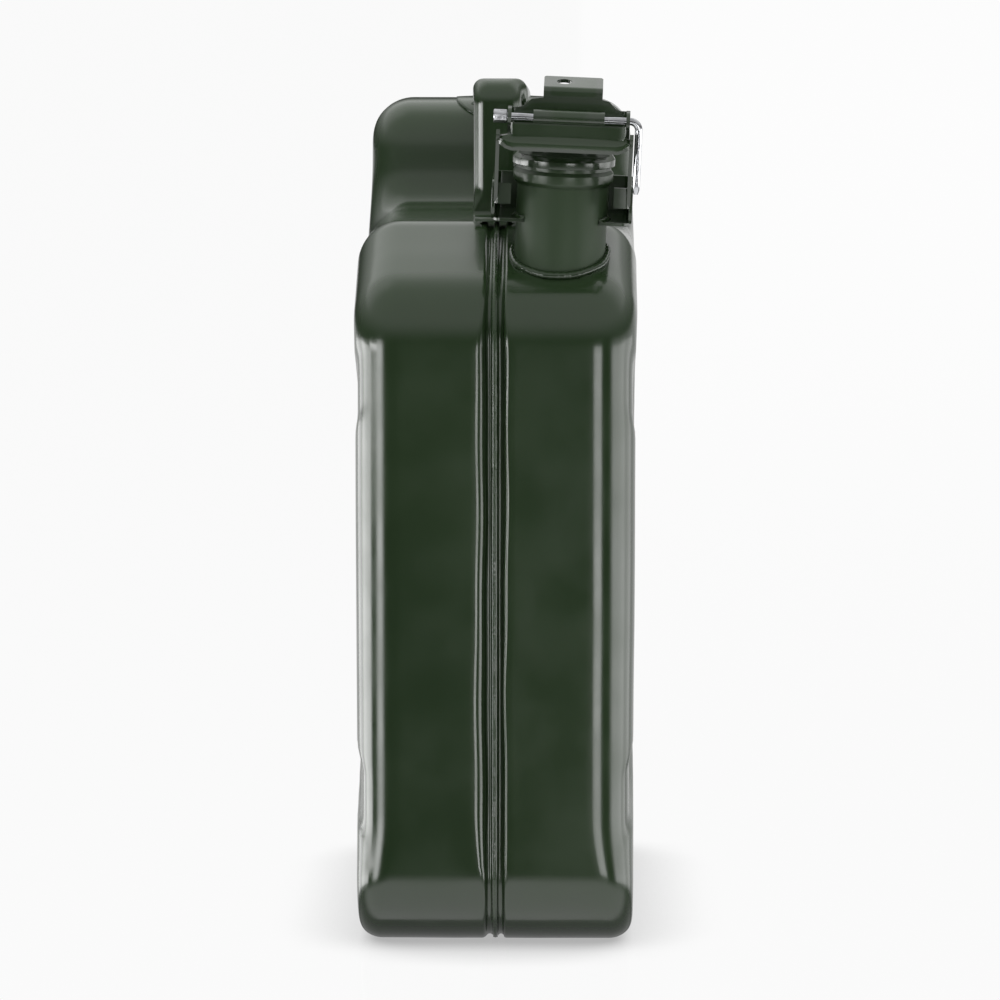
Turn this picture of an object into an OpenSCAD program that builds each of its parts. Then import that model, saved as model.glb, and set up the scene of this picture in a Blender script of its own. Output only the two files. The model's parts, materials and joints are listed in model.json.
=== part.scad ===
// Ten litre steel fuel can: two pressed half shells, a welded seam, a stamped
// handle and a tilted filler neck closed by a hinged lid with a clamp lever.
// Origin: centre of the base. +Z up, the spout end faces -Y, the neck is on +X.

/* [Can body] */
// Overall thickness across the two half shells
body_thickness = 125; // [118:1:135]
// Overall length from the spout end to the rear
body_length = 280; // [270:1:300]
// Height of the front edge where the shoulder starts
shoulder_z = 290; // [284:1:292]
// Height of the flat deck under the handle
deck_z = 319; // [312:1:322]
// Height of the rear air hump
hump_z = 369; // [360:1:380]
// Y where the shoulder meets the deck
deck_start_y = -73; // [-80:1:-68]
// Y of the foot of the hump front
hump_foot_y = 42; // [36:1:48]
// Radius of the long edges round each side panel
edge_radius = 20; // [14:1:21]
// Sheet thickness of the shells
sheet = 1; // [0.8:0.1:1.2]

/* [Seam and side ribs] */
// Depth of the recess that holds the seam
seam_depth = 4.5; // [3.5:0.1:5]
// Radius where the left shell turns into the recess
seam_radius_left = 5; // [4:0.5:6]
// Radius where the right shell turns into the recess
seam_radius_right = 3; // [3:0.5:6]
// Depth of the crossed grooves in the side panels
rib_depth = 2.5; // [1:0.5:4]
// Width of the crossed grooves
rib_width = 28; // [20:1:34]

/* [Neck] */
// X of the middle of the neck's lip
neck_x = 30; // [29:0.1:32]
// Y of the middle of the neck's lip
neck_y = -106.7; // [-108:0.1:-105]
// Height of the neck's lip
neck_z = 347; // [342:1:348]
// Forward tilt of the neck
neck_pitch = 5; // [2:0.5:8]
// Sideways lean of the neck
neck_lean = 2.5; // [0:0.5:4]
// Outside diameter of the neck tube
neck_outside = 40.2; // [40.2:0.1:40.6]
// Bore of the neck tube
neck_bore = 37.8; // [37:0.1:38.4]

/* [Handle] */
// Width of the handle's leg
leg_width = 21.5; // [18:0.5:24]
// Width of the handle's grip
grip_width = 25; // [24:0.5:27]
// Height of the top of the grip
grip_z = 383; // [381:1:386]

/* [Closure] */
// Largest radius of the lid
lid_radius = 22.6; // [22.4:0.1:23.4]
// Distance of the rear hinge pin behind the neck's axis
hinge_back = 31; // [30.5:0.1:31.5]
// Diameter of the cross pin and its bent wire leg
wire_d = 3.3; // [3.2:0.1:3.6]
// Length of the hanging wire leg
wire_leg = 28; // [26:1:34]
// Width of the lifting tab
tab_width = 25.8; // [22:0.1:27]
// Diameter of the hole for a seal in the lifting tab
seal_hole_d = 6.6; // [5:0.2:8]

/* [Hidden] */

$fn = 64;
paint = "#3b4a34";
steel = "#b9bec2";
rubber = "#1d1f1e";

half = body_thickness / 2;
front = -body_length / 2;
rear = body_length / 2;
bottom_radius = 35;
brow_radius = 34;
deck_radius = 25;
foot_radius = 22;
hump_radius = 26;
rear_radius = 40;
hump_lean = 8;
arc_steps = 8;
bead = 0.6;
bend_radius = 1.5;

slope = atan2(deck_z - shoulder_z, deck_start_y - front);
running = 0.05;
hinge_w = 2;
hinge_r = 2;
wire_r = wire_d / 2;
pin_v = -24;
pin_w = 22;
shift = 1.4;
plate = 1.6;
ear_u = 25.8;
lid_top = 4.7;
rivet_r = 2.5;
head_slope_r = 3.6;
plate_r = 17.8;
plate_low = 0.3;
plate_top = 1.5;
floor_w = lid_top + 0.1;
bracket_low = -26;

breather_r = 4;
breather_x = 28.5;
breather_z = 281;
breather_front_y = -100;
breather_rear_y = 92;
breather_elbow = 10;

handle_sheet = 2;
leg_y = -63;
grip_end_y = 74;
foot_length = 26;
grip_shift = 1.3;
grip_fall = 5;
saddle_width = 44;
saddle_sheet = 1.2;

// corners of the side outline, anticlockwise, each [y, z, radius]
corners = [
    [front, 0, bottom_radius],
    [rear, 0, bottom_radius],
    [rear, hump_z, rear_radius],
    [hump_foot_y + hump_lean, hump_z, hump_radius],
    [hump_foot_y, deck_z, foot_radius],
    [deck_start_y, deck_z, deck_radius],
    [front, shoulder_z, brow_radius]
];

// ---- outlines and bent sheets ----

function along(a) = [cos(a), sin(a)];
function left_of(a) = [-sin(a), cos(a)];
function heading(p, q) = atan2(q[1] - p[1], q[0] - p[0]);
function wrapped(t) = t > 180 ? t - 360 : t <= -180 ? t + 360 : t;

// arc of the rounded corner c between p and q, moved to the left by inset
function corner_arc(p, c, q, inset, steps) =
    let (
        a = heading(p, c),
        t = wrapped(heading(c, q) - a),
        r = c[2] * sign(t),
        centre = [c[0], c[1]] - along(a) * c[2] * tan(abs(t) / 2) + left_of(a) * r
    )
    [for (k = [0:steps]) centre - left_of(a + t * k / steps) * (r - inset)];

function outline(inset) =
    let (n = len(corners))
    [for (i = [0:n - 1])
        each corner_arc(corners[(i + n - 1) % n], corners[i], corners[(i + 1) % n], inset, arc_steps)];

// one side of a sheet bent along a path of [x, y, radius] points
function sheet_side(path, inset) =
    let (n = len(path), a = heading(path[0], path[1]), b = heading(path[n - 2], path[n - 1]))
    concat(
        [[path[0][0], path[0][1]] + left_of(a) * inset],
        [for (i = [1:1:n - 2]) each corner_arc(path[i - 1], path[i], path[i + 1], inset, 6)],
        [[path[n - 1][0], path[n - 1][1]] + left_of(b) * inset]
    );
function reversed(list) = [for (i = [len(list) - 1:-1:0]) list[i]];
function bent_sheet(path, thick) =
    concat(sheet_side(path, -thick / 2), reversed(sheet_side(path, thick / 2)));

// a flat shape drawn in Y and Z, given a width along X
module across(width) {
    rotate([90, 0, 90]) linear_extrude(width, center = true) children();
}

// closed solid through copies of the side outline, each ring [x, inset]
module loft(rings) {
    n = len(outline(0));
    last = len(rings) - 1;
    points = [for (ring = rings) for (p = outline(ring[1])) [ring[0], p[0], p[1]]];
    start_cap = [for (k = [0:n - 1]) k];
    end_cap = [for (k = [n - 1:-1:0]) last * n + k];
    walls = [for (s = [0:last - 1]) for (k = [0:n - 1])
        let (m = (k + 1) % n) [s * n + k, (s + 1) * n + k, (s + 1) * n + m, s * n + m]];
    polyhedron(points, concat([start_cap, end_cap], walls));
}

// section of one half shell from the seam to the side panel, moved inwards by depth
function shell_section(seam_radius, depth) =
    let (
        swing = acos(1 - seam_depth / (bend_radius + seam_radius)),
        bend_centre = [sheet + bend_radius, seam_depth - bend_radius],
        turn_centre = bend_centre + (bend_radius + seam_radius) * [sin(swing), cos(swing)],
        edge_centre = [half - edge_radius, edge_radius]
    )
    concat(
        [for (k = [0:6]) let (a = (90 + swing) * k / 6)
            bend_centre + (bend_radius + depth) * [-cos(a), sin(a)]],
        [for (k = [1:5]) let (a = swing * (1 - k / 5))
            turn_centre - (seam_radius - depth) * [sin(a), cos(a)]],
        [for (k = [0:6]) let (a = 90 * k / 6)
            edge_centre + (edge_radius - depth) * [sin(a), -cos(a)]]
    );

// one arm of the crossed groove, from the middle of the side panel to its edge
module rib_arm(angle, grow) {
    reach = 175;
    mid_z = 160;
    translate([0, 0, mid_z]) rotate([angle, 0, 0]) hull() {
        translate([half + 1, reach / 2, 0]) cube([0.1, reach, rib_width + 2 * grow + 2], center = true);
        translate([half - rib_depth - grow, reach / 2, 0])
            cube([0.1, reach, rib_width * 0.6 + 2 * grow], center = true);
    }
}

module half_shell(seam_radius) {
    rib_angle = 35.5;
    outside = concat([[0, bead], [sheet, bead]], shell_section(seam_radius, 0));
    inside = concat([[-1, seam_depth - bend_radius]], shell_section(seam_radius, sheet));
    difference() {
        loft(outside);
        for (a = [rib_angle, -rib_angle, 180 - rib_angle, 180 + rib_angle]) rib_arm(a, 0);
        difference() {
            loft(inside);
            for (a = [rib_angle, -rib_angle, 180 - rib_angle, 180 + rib_angle]) rib_arm(a, sheet);
        }
    }
}

module shell_left() {
    color(paint) mirror([1, 0, 0]) half_shell(seam_radius_left);
}

module shell_right() {
    color(paint) difference() {
        half_shell(seam_radius_right);
        on_neck() translate([0, 0, -70]) cylinder(h = 60, r = neck_outside / 2 + running);
    }
}

module seam_weld() {
    color(paint) across(1.4) difference() {
        polygon(outline(0));
        polygon(outline(bead));
    }
}

// ---- filler neck ----

// frame of the neck: origin in the middle of the lip, w along the neck's axis
module on_neck() {
    translate([neck_x, neck_y, neck_z]) rotate([neck_pitch, neck_lean, 0]) children();
}

module ring(outer, inner, low, high) {
    translate([0, 0, low]) difference() {
        cylinder(h = high - low, r = outer);
        translate([0, 0, -1]) cylinder(h = high - low + 2, r = inner);
    }
}

module neck_tube() {
    color(paint) on_neck() ring(neck_outside / 2, neck_bore / 2, -51, 0);
}

module neck_collar() {
    inner = neck_outside / 2 + running;
    color(paint) on_neck() rotate_extrude() polygon([
        [inner, -9.2], [inner + 0.7, -9.2], [inner + 1.4, -8.6], [inner + 1.75, -7.4],
        [inner + 1.75, -4.2], [inner + 1.4, -3.1], [inner + 0.8, -2.5], [inner + 0.8, -0.4],
        [inner + 0.5, 0], [inner, 0]
    ]);
}

module neck_weld() {
    slab = 2.2;
    color(paint) difference() {
        intersection() {
            translate([0, front, shoulder_z]) rotate([slope, 0, 0])
                translate([0, 0, running]) cube([half, 90, slab]);
            on_neck() translate([0, 0, -70]) cylinder(h = 60, r = neck_outside / 2 + 2.2);
        }
        on_neck() translate([0, 0, -71]) cylinder(h = 62, r = neck_outside / 2 + running);
    }
}

// ---- breather ----

// quarter bend in the Y and Z plane, starting at the angle from_a
module elbow(from_a) {
    rotate([90, 0, 90]) rotate([0, 0, from_a]) rotate_extrude(angle = 90)
        translate([breather_elbow, 0]) difference() {
            circle(breather_r);
            circle(breather_r - 1);
        }
}

module pipe(length) {
    difference() {
        cylinder(h = length, r = breather_r);
        translate([0, 0, -1]) cylinder(h = length + 2, r = breather_r - 1);
    }
}

module breather_tube() {
    run = breather_rear_y - breather_front_y - 2 * breather_elbow;
    rise = hump_z - breather_z - breather_elbow - 14;
    color(steel) translate([breather_x, 0, breather_z]) {
        translate([0, breather_front_y + breather_elbow, 0]) rotate([-90, 0, 0]) pipe(run);
        translate([0, breather_front_y + breather_elbow, breather_elbow]) elbow(180);
        translate([0, breather_rear_y - breather_elbow, breather_elbow]) elbow(270);
        translate([0, breather_rear_y, breather_elbow]) pipe(rise);
    }
}

module breather_clip() {
    clip_r = breather_r + running;
    drop = deck_z - sheet - breather_z;
    color(steel) translate([breather_x, -10, breather_z]) difference() {
        union() {
            rotate([90, 0, 0]) cylinder(h = 12, r = clip_r + 1.2, center = true);
            translate([-5.2, -6, 0]) cube([1.2, 12, drop]);
            translate([-5.2, -6, drop - 1.2]) cube([18, 12, 1.2]);
        }
        rotate([90, 0, 0]) cylinder(h = 14, r = clip_r, center = true);
    }
}

// ---- handle ----

// rounded front edge of the hump, from its top downwards, moved inwards by inset
function hump_arc(inset) = corner_arc(corners[2], corners[3], corners[4], inset, arc_steps);

// saddle plate that wraps the front edge of the hump
module saddle() {
    wrap = 5;
    back = [grip_end_y + foot_length, hump_z];
    across(saddle_width) polygon(concat(
        [back], [for (k = [0:wrap]) hump_arc(0)[k]],
        [for (k = [wrap:-1:0]) hump_arc(-saddle_sheet)[k]], [back + [0, saddle_sheet]]
    ));
}

module handle() {
    mid = handle_sheet / 2;
    front_foot = 13;
    path = [
        [leg_y - front_foot, deck_z + mid, 0],
        [leg_y, deck_z + mid, 3.5],
        [leg_y, grip_z - mid, 10],
        [grip_end_y - 24, grip_z - mid - grip_fall, 16],
        [grip_end_y, hump_z + mid, 16],
        [grip_end_y + foot_length, hump_z + mid, 0]
    ];
    rim = 8;
    rim_start = leg_y + 12;
    rim_length = 92;
    rim_pitch = atan2(grip_fall, grip_end_y - 24 - leg_y);
    color(paint) {
        saddle();
        across(leg_width) polygon(bent_sheet(path, handle_sheet));
        for (side = [-1, 1])
            translate([grip_shift + side * (grip_width - handle_sheet) / 2, leg_y, grip_z])
                rotate([-rim_pitch, 0, 0]) translate([0, rim_start - leg_y, -rim]) {
                    translate([-mid, 0, 0]) cube([handle_sheet, rim_length, rim - mid]);
                    translate([side > 0 ? -handle_sheet - mid : 0, 0, rim - handle_sheet])
                        cube([handle_sheet + mid, rim_length, handle_sheet]);
                }
    }
}

module foot_bead(y, z) {
    color(paint) translate([0, y, z]) intersection() {
        rotate([0, 90, 0]) cylinder(h = leg_width - 2, r = 1.8, center = true);
        translate([-half, -3, 0]) cube([2 * half, 3, 3]);
    }
}

module handle_front_weld() {
    foot_bead(leg_y - 13, deck_z);
}

module handle_rear_weld() {
    mirror([0, 1, 0]) foot_bead(-(grip_end_y + foot_length), hump_z);
}

// ---- closure: u across the can, v rearwards, w along the neck ----

module hinge_bracket() {
    low = bracket_low;
    tall = 18;
    wing = 31;
    front_v = -12;
    back_v = 24;
    lug_u = 15.6;
    strap_drop = 15.5;
    color(paint) on_neck() difference() {
        union() {
            translate([-wing, front_v, low]) cube([2 * wing, back_v - front_v, plate]);
            translate([-wing, back_v - plate, low]) cube([2 * wing, plate, tall]);
            translate([1 - wing, -4, low - strap_drop]) cube([7, plate, strap_drop + 0.5]);
            for (side = [-1, 1]) {
                translate([side * (wing - plate / 2) - plate / 2, front_v, low])
                    cube([plate, back_v - front_v, tall]);
                translate([side * lug_u - 1, back_v - plate, low])
                    cube([2, hinge_back - back_v + plate, hinge_w - low]);
                translate([side * lug_u, hinge_back, hinge_w]) rotate([0, 90, 0])
                    cylinder(h = 2, r = 4.2, center = true);
            }
        }
        translate([0, 0, low - 1]) cylinder(h = 4, r = neck_outside / 2 + running);
        translate([-wing, hinge_back, hinge_w]) rotate([0, 90, 0])
            cylinder(h = 2 * wing, r = hinge_r + running);
    }
}

module bracket_weld() {
    inner = neck_outside / 2 + running;
    base = bracket_low + plate;
    color(paint) on_neck() intersection() {
        rotate_extrude() polygon([[inner, base], [inner + 1.6, base], [inner, base + 1.6]]);
        translate([-30, -12, base]) cube([60, 60, 4]);
    }
}

module lid_hinge_pin() {
    color(steel) on_neck() translate([0, hinge_back, hinge_w]) rotate([0, 90, 0]) {
        cylinder(h = 33.6, r = hinge_r, center = true);
        for (side = [-1, 1])
            translate([0, 0, side * 17.4]) cylinder(h = 1.2, r = 3, center = true);
    }
}

module cross_bore(v, w, r) {
    translate([-50, v, w]) rotate([0, 90, 0]) cylinder(h = 100, r = r);
}

module lid_carrier() {
    wall_v = -17.8;
    front_v = -27;
    knuckle_width = 28.8;
    ear_r = 4.2;
    ear_w = 11;
    arm = 14;
    tab_rise = 12;
    tab_bend_w = 34;
    tab_length = 15.4;
    tab_shift = shift + 1.4;
    hole_back = 8.5;
    hole_shift = -4;
    tab_path = [
        [wall_v, floor_w + 2, 0],
        [wall_v, tab_bend_w, 2.2],
        [wall_v + tab_length * cos(tab_rise), tab_bend_w + tab_length * sin(tab_rise), 0]
    ];
    wall = [
        [-arm, floor_w], [-arm, ear_w], [-ear_u, ear_w], [-ear_u, 25.6], [-20.4, 25.6], [-16.4, 29.4], [-11, 30.2],
        [-11, 20], [14, 20], [14, 30.2], [17.4, 29.4], [21, 25.6], [ear_u, 25.6],
        [ear_u, ear_w], [arm, ear_w], [arm, floor_w]
    ];
    color(paint) on_neck() difference() {
        union() {
            translate([-arm, wall_v, floor_w]) cube([2 * arm, hinge_back - wall_v, plate]);
            translate([0, hinge_back, hinge_w]) rotate([0, 90, 0])
                cylinder(h = knuckle_width, r = 4.2, center = true);
            translate([shift, wall_v, 0]) rotate([90, 0, 0])
                linear_extrude(plate, center = true) polygon(wall);
            translate([tab_shift, 0, 0]) across(tab_width) polygon(bent_sheet(tab_path, plate));
            for (side = [-1, 1]) translate([shift + side * ear_u, 0, 0]) {
                translate([0, pin_v, pin_w]) rotate([0, 90, 0])
                    cylinder(h = plate, r = ear_r, center = true);
                translate([-plate / 2, front_v, ear_w]) cube([plate, wall_v - front_v, pin_w - ear_w]);
                translate([-plate / 2, pin_v, ear_w])
                    cube([plate, wall_v - pin_v, pin_w + ear_r - 0.6 - ear_w]);
            }
        }
        cross_bore(hinge_back, hinge_w, hinge_r + running);
        cross_bore(pin_v, pin_w, wire_r + running);
        cylinder(h = 20, r = rivet_r + running);
        translate([tab_shift + hole_shift, wall_v, tab_bend_w]) rotate([tab_rise, 0, 0])
            translate([0, hole_back, -4]) cylinder(h = 8, r = seal_hole_d / 2);
    }
}

module lid_disc() {
    rim = 1.2;
    skirt_w = -0.8;
    color(paint) on_neck() rotate_extrude() polygon([
        [rivet_r + running, lid_top - rim], [lid_radius - rim, lid_top - rim],
        [lid_radius - rim, skirt_w], [lid_radius, skirt_w], [lid_radius, lid_top - 1],
        [lid_radius - 1, lid_top], [rivet_r + running, lid_top]
    ]);
}

// the sealing face bears on the neck's lip, the thinner middle lies behind the retaining plate
module lid_gasket() {
    inner = 12;
    outer = lid_radius - 1.3;
    top = lid_top - 1.25;
    color(rubber) on_neck() rotate_extrude() polygon([
        [inner, plate_top + running], [plate_r + 0.1, plate_top + running],
        [plate_r + 0.1, running], [outer, running], [outer, top], [inner, top]
    ]);
}

module gasket_plate() {
    hole = head_slope_r + running;
    color(steel) on_neck() rotate_extrude() polygon([
        [hole, plate_low], [plate_r, plate_low], [plate_r, plate_top], [rivet_r + running, plate_top]
    ]);
}

module lid_rivet() {
    head_w = floor_w + plate + 1;
    color(steel) on_neck() {
        translate([0, 0, plate_low]) cylinder(h = plate_top - plate_low, r1 = head_slope_r, r2 = rivet_r);
        translate([0, 0, plate_top - 0.1]) cylinder(h = head_w + 0.1 - plate_top, r = rivet_r);
        translate([0, 0, head_w]) cylinder(h = 1.8, r1 = 5, r2 = 3.6);
    }
}

module spring_washer() {
    base = floor_w + plate;
    color(steel) on_neck() ring(5.6, rivet_r + running, base, base + 1);
}

module clamp_lever() {
    lip = 29.9;
    inner = ear_u - plate / 2 - 0.6;
    plate_v = pin_v - 4;
    knuckle_r = 3.6;
    knuckle_width = 31;
    top_w = 20;
    crease_w = 11.8;
    foot_u = 25.5;
    foot_low = -17;
    plate_path = [[plate_v, top_w, 0], [plate_v, crease_w + 1, 4], [plate_v - 1.4, crease_w - 1, 0]];
    lip_path = [[plate_v, crease_w + 1, 0], [plate_v - 1.4, crease_w - 1, 3], [plate_v - 5, 8.6, 0]];
    color(paint) on_neck() difference() {
        union() {
            translate([shift, pin_v, pin_w]) rotate([0, 90, 0])
                cylinder(h = knuckle_width, r = knuckle_r, center = true);
            translate([shift - knuckle_width / 2, plate_v - plate / 2, top_w - 2])
                cube([knuckle_width, plate + 1, pin_w - top_w + 2]);
            translate([shift, 0, 0]) across(2 * inner) polygon(bent_sheet(plate_path, plate));
            across(2 * lip) polygon(bent_sheet(lip_path, plate));
            for (side = [-1, 1]) {
                translate([side * (lip - plate / 2), 0, 0]) across(plate) polygon([
                    [-33, 8.6], [-33, 12.7], [-30.6, 16], [-27, 17.3], [-23, 15.5],
                    [-20, 9], [-15, -7], [-15, foot_low], [-19, foot_low], [-22, -7], [-27, 6.7]
                ]);
                translate([side * foot_u - 3.5, -19.6, foot_low]) cube([7, plate, 9]);
            }
        }
        cross_bore(pin_v, pin_w, wire_r + running);
    }
}

module catch_wire() {
    bend = 3.8;
    start_u = shift - 32.4;
    bend_u = shift + ear_u + 1;
    color(steel) on_neck() translate([0, pin_v, pin_w]) {
        translate([start_u, 0, 0]) rotate([0, 90, 0]) cylinder(h = bend_u - start_u, r = wire_r);
        translate([bend_u, 0, -bend]) rotate([90, 0, 0]) rotate_extrude(angle = 90)
            translate([bend, 0]) circle(wire_r);
        translate([bend_u + bend, 0, -bend - wire_leg]) cylinder(h = wire_leg, r = wire_r);
    }
}

module catch_wire_head() {
    color(steel) on_neck() translate([shift - 32.8, pin_v, pin_w]) rotate([0, 90, 0])
        difference() {
            cylinder(h = 6, r = 3);
            translate([0, 0, 0.4]) cylinder(h = 6, r = wire_r);
        }
}

shell_left();
shell_right();
seam_weld();
neck_tube();
neck_collar();
neck_weld();
breather_tube();
breather_clip();
handle();
handle_front_weld();
handle_rear_weld();
hinge_bracket();
bracket_weld();
lid_hinge_pin();
lid_carrier();
lid_disc();
lid_gasket();
gasket_plate();
lid_rivet();
spring_washer();
clamp_lever();
catch_wire();
catch_wire_head();
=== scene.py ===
"""Looks of the ten litre fuel can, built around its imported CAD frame. Sizes are in millimetres
until a mesh is made, in the row frame: +Z up, -Y towards the filler end, +X the neck's side."""

import json
import math
import bpy
from mathutils import Matrix, Vector, noise


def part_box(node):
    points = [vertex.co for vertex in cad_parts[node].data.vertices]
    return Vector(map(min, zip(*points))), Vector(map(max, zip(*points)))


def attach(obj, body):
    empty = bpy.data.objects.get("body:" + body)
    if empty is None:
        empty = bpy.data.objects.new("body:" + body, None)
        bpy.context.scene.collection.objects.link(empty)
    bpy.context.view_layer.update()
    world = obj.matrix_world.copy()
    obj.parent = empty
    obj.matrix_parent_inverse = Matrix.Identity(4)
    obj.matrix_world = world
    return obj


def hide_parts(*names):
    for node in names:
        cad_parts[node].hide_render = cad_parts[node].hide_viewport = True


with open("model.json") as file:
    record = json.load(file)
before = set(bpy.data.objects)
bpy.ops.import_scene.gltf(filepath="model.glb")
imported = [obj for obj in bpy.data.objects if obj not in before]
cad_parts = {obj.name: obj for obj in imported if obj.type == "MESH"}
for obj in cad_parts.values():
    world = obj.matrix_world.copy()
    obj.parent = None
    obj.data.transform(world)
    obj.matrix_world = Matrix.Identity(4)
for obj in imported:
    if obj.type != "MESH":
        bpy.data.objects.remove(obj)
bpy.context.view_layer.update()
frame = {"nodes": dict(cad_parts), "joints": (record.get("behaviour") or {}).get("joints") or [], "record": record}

MM = 0.001
PI = math.pi


# ---- measures taken from the frame -------------------------------------------------------------

def box_mm(node):
    """The lowest and highest corner of a CAD node."""
    low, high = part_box(node)
    return low / MM, high / MM


HALF = box_mm("shell_right")[1].x
FRONT = box_mm("seam_weld")[0].y
REAR = box_mm("seam_weld")[1].y
HUMP_Z = box_mm("seam_weld")[1].z
DECK_Z = box_mm("handle")[0].z
GRIP_Z = box_mm("handle")[1].z
LEG_HALF = -box_mm("handle_front_weld")[0].x + 1
GRIP_HALF = 12.5
GRIP_SHIFT = 1.3
GRIP_FALL = 5.0

mounts = {m["name"]: m for m in frame["record"]["mounts"]}
joints = {j["name"]: j for j in frame["joints"]}
W_AXIS = Vector(mounts["neck_mouth"]["axis"])
U_AXIS = -Vector(joints["lid_hinge"]["axis"])
V_AXIS = W_AXIS.cross(U_AXIS)
LIP = Vector(mounts["neck_mouth"]["pos_m"]) / MM + W_AXIS
NECK_R = 20.1
NECK_BORE_R = mounts["neck_mouth"]["dims"]["r_mm"]


def neck_matrix():
    """Takes a point (u, v, w) of the closure's own frame to the row frame, in millimetres."""
    m = Matrix((U_AXIS, V_AXIS, W_AXIS)).transposed().to_4x4()
    m.translation = LIP
    return m


NECK = neck_matrix()

SHOULDER_Z = 290
DECK_START_Y = -73
HUMP_FOOT_Y = 42
HUMP_LEAN = 8
EDGE_R = 20
SHEET = 1.0
SEAM_DEPTH = 4.5
BEND_R = 1.5
SHALLOW_SEAM = 1.9
SEAM_R = {-1: 5.0, 1: 2.6}
PANEL_MID_Z = 160
RIB_ANGLE = math.radians(35.5)

OUTLINE = [
    (FRONT, 0, 35), (REAR, 0, 35), (REAR, HUMP_Z, 40), (HUMP_FOOT_Y + HUMP_LEAN, HUMP_Z, 26),
    (HUMP_FOOT_Y, DECK_Z, 22), (DECK_START_Y, DECK_Z, 25), (FRONT, SHOULDER_Z, 34),
]
PANEL_CENTRE = (75, 150)
LUMP_SIZE = 42.0


# ---- small helpers -----------------------------------------------------------------------------

def smooth(low, high, x):
    """0 below low, 1 above high, eased between them; low may be the larger one."""
    t = min(1.0, max(0.0, (x - low) / (high - low)))
    return t * t * (3 - 2 * t)


def mix(a, b, t):
    return a + (b - a) * t


def ripple(point, size, seed=0.0):
    """Smooth noise between about -1 and 1 whose lumps are size wide."""
    return noise.noise(Vector(point) / size + Vector((seed, seed * 0.7, seed * 1.3)))


def make_mesh(name, vertices, faces, body, material, angle=40.0):
    """A smooth-shaded mesh of millimetre vertices, riding on a body."""
    mesh = bpy.data.meshes.new(name)
    mesh.from_pydata([Vector(v) * MM for v in vertices], [], faces)
    mesh.validate()
    mesh.materials.append(material)
    for polygon in mesh.polygons:
        polygon.use_smooth = True
    mesh.set_sharp_from_angle(angle=math.radians(angle))
    piece = bpy.data.objects.new(name, mesh)
    bpy.context.scene.collection.objects.link(piece)
    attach(piece, body)
    return piece


def grid_faces(rows, columns, wrap_rows=False, wrap_columns=False, start=0):
    """Quads over rows of points, joined round in either direction if asked."""
    faces = []
    for i in range(rows if wrap_rows else rows - 1):
        for j in range(columns if wrap_columns else columns - 1):
            a = start + i * columns + j
            b = start + i * columns + (j + 1) % columns
            c = start + ((i + 1) % rows) * columns + (j + 1) % columns
            d = start + ((i + 1) % rows) * columns + j
            faces.append((a, b, c, d))
    return faces


def apply_modifiers(piece):
    """Bakes a piece's modifiers into its mesh."""
    graph = bpy.context.evaluated_depsgraph_get()
    baked = bpy.data.meshes.new_from_object(piece.evaluated_get(graph))
    piece.modifiers.clear()
    piece.data = baked


def path_samples(corners, closed, spacing, turn_step=math.radians(5)):
    """Points along a path of (y, z, radius) corners, each (y, z, left y, left z, distance)."""
    count = len(corners)
    arcs = []
    for i, corner in enumerate(corners):
        y, z = corner[0], corner[1]
        if not closed and i in (0, count - 1):
            other = corners[1] if i == 0 else corners[count - 2]
            a = math.atan2(other[1] - z, other[0] - y) + (0 if i == 0 else PI)
            arcs.append([(y, z, a)])
            continue
        before, after = corners[i - 1], corners[(i + 1) % count]
        a = math.atan2(z - before[1], y - before[0])
        b = math.atan2(after[1] - z, after[0] - y)
        turn = (b - a + PI) % (2 * PI) - PI
        radius = math.copysign(corner[2], turn)
        back = corner[2] * math.tan(abs(turn) / 2)
        cy = y - math.cos(a) * back - math.sin(a) * radius
        cz = z - math.sin(a) * back + math.cos(a) * radius
        steps = max(4, math.ceil(abs(turn) / turn_step), math.ceil(abs(turn * radius) / spacing))
        arcs.append([
            (cy + math.sin(a + turn * k / steps) * radius,
             cz - math.cos(a + turn * k / steps) * radius,
             a + turn * k / steps) for k in range(steps + 1)
        ])
    samples = []
    for i, arc in enumerate(arcs):
        samples.extend(arc)
        if not closed and i == count - 1:
            break
        start, end = arc[-1], arcs[(i + 1) % count][0]
        length = math.hypot(end[0] - start[0], end[1] - start[1])
        steps = max(1, round(length / spacing))
        samples.extend(
            (mix(start[0], end[0], k / steps), mix(start[1], end[1], k / steps), start[2])
            for k in range(1, steps)
        )
    result, distance = [], 0.0
    for i, (y, z, a) in enumerate(samples):
        if i:
            distance += math.hypot(y - samples[i - 1][0], z - samples[i - 1][1])
        result.append((y, z, -math.sin(a), math.cos(a), distance))
    return result


# ---- materials ---------------------------------------------------------------------------------

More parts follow.
